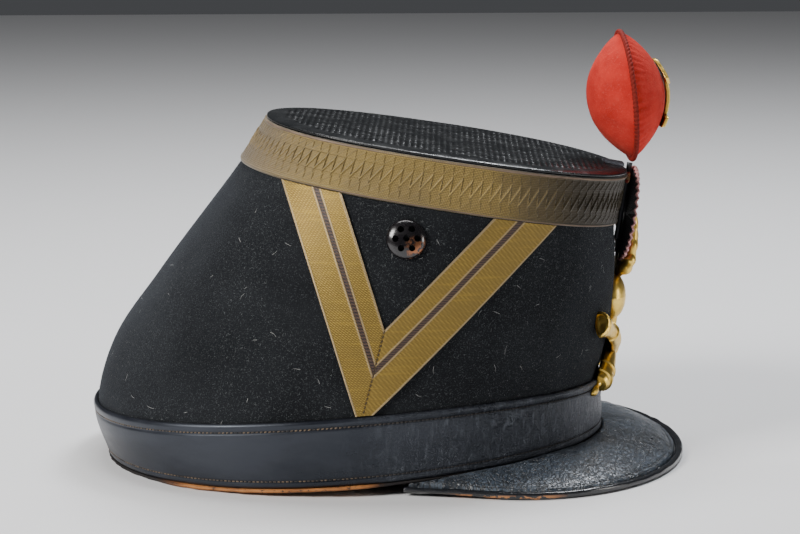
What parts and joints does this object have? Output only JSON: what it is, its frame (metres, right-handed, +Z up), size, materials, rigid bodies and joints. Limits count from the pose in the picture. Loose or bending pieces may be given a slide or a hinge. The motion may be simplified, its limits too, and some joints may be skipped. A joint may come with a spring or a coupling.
{
  "type": "military shako",
  "caption": "Felt and leather shako with sloping rear, lace band and side chevrons, bound peak, pompon, pleated cockade and brass badge.",
  "frame": {"origin": "middle of the bounding box in plan, on the table that the peak's edge and the rear of the rim rest on", "axes": "+X towards the front of the shako (the peak and the badge), +Y towards the wearer's left, +Z up"},
  "size_m": [0.2484, 0.1894, 0.1767],
  "materials": {
    "body_felt": "matt wool felt",
    "crown_leather": "embossed glossy leather",
    "black_leather": "glossy waxed leather",
    "brown_leather": "dull bare leather",
    "gold_lace": "dull metallic thread weave",
    "chevron_lace": "metallic thread weave",
    "japanned_metal": "glossy black japanning",
    "red_felt": "matt wool felt",
    "red_cord": "twisted wool cord",
    "brass": "satin stamped brass",
    "dark_metal": "dull dark iron",
    "cockade_ribbon": "pleated ribbon, worn"
  },
  "bodies": {
    "root": {"felt_body": "body_felt", "crown_top": "crown_leather", "lace_band": "gold_lace", "chevron_left": "chevron_lace", "chevron_right": "chevron_lace", "ventilator_left": "japanned_metal", "ventilator_right": "japanned_metal", "leather_band": "black_leather", "sweatband": "brown_leather", "peak": "black_leather", "peak_binding": "black_leather", "pompon_stem": "dark_metal", "pompon": "red_felt", "pompon_cord": "red_cord", "pompon_numeral": "brass", "cord_loop": "red_cord", "pompon_tab": "black_leather", "cockade": "cockade_ribbon", "front_badge": "brass"}
  },
  "joints": []
}
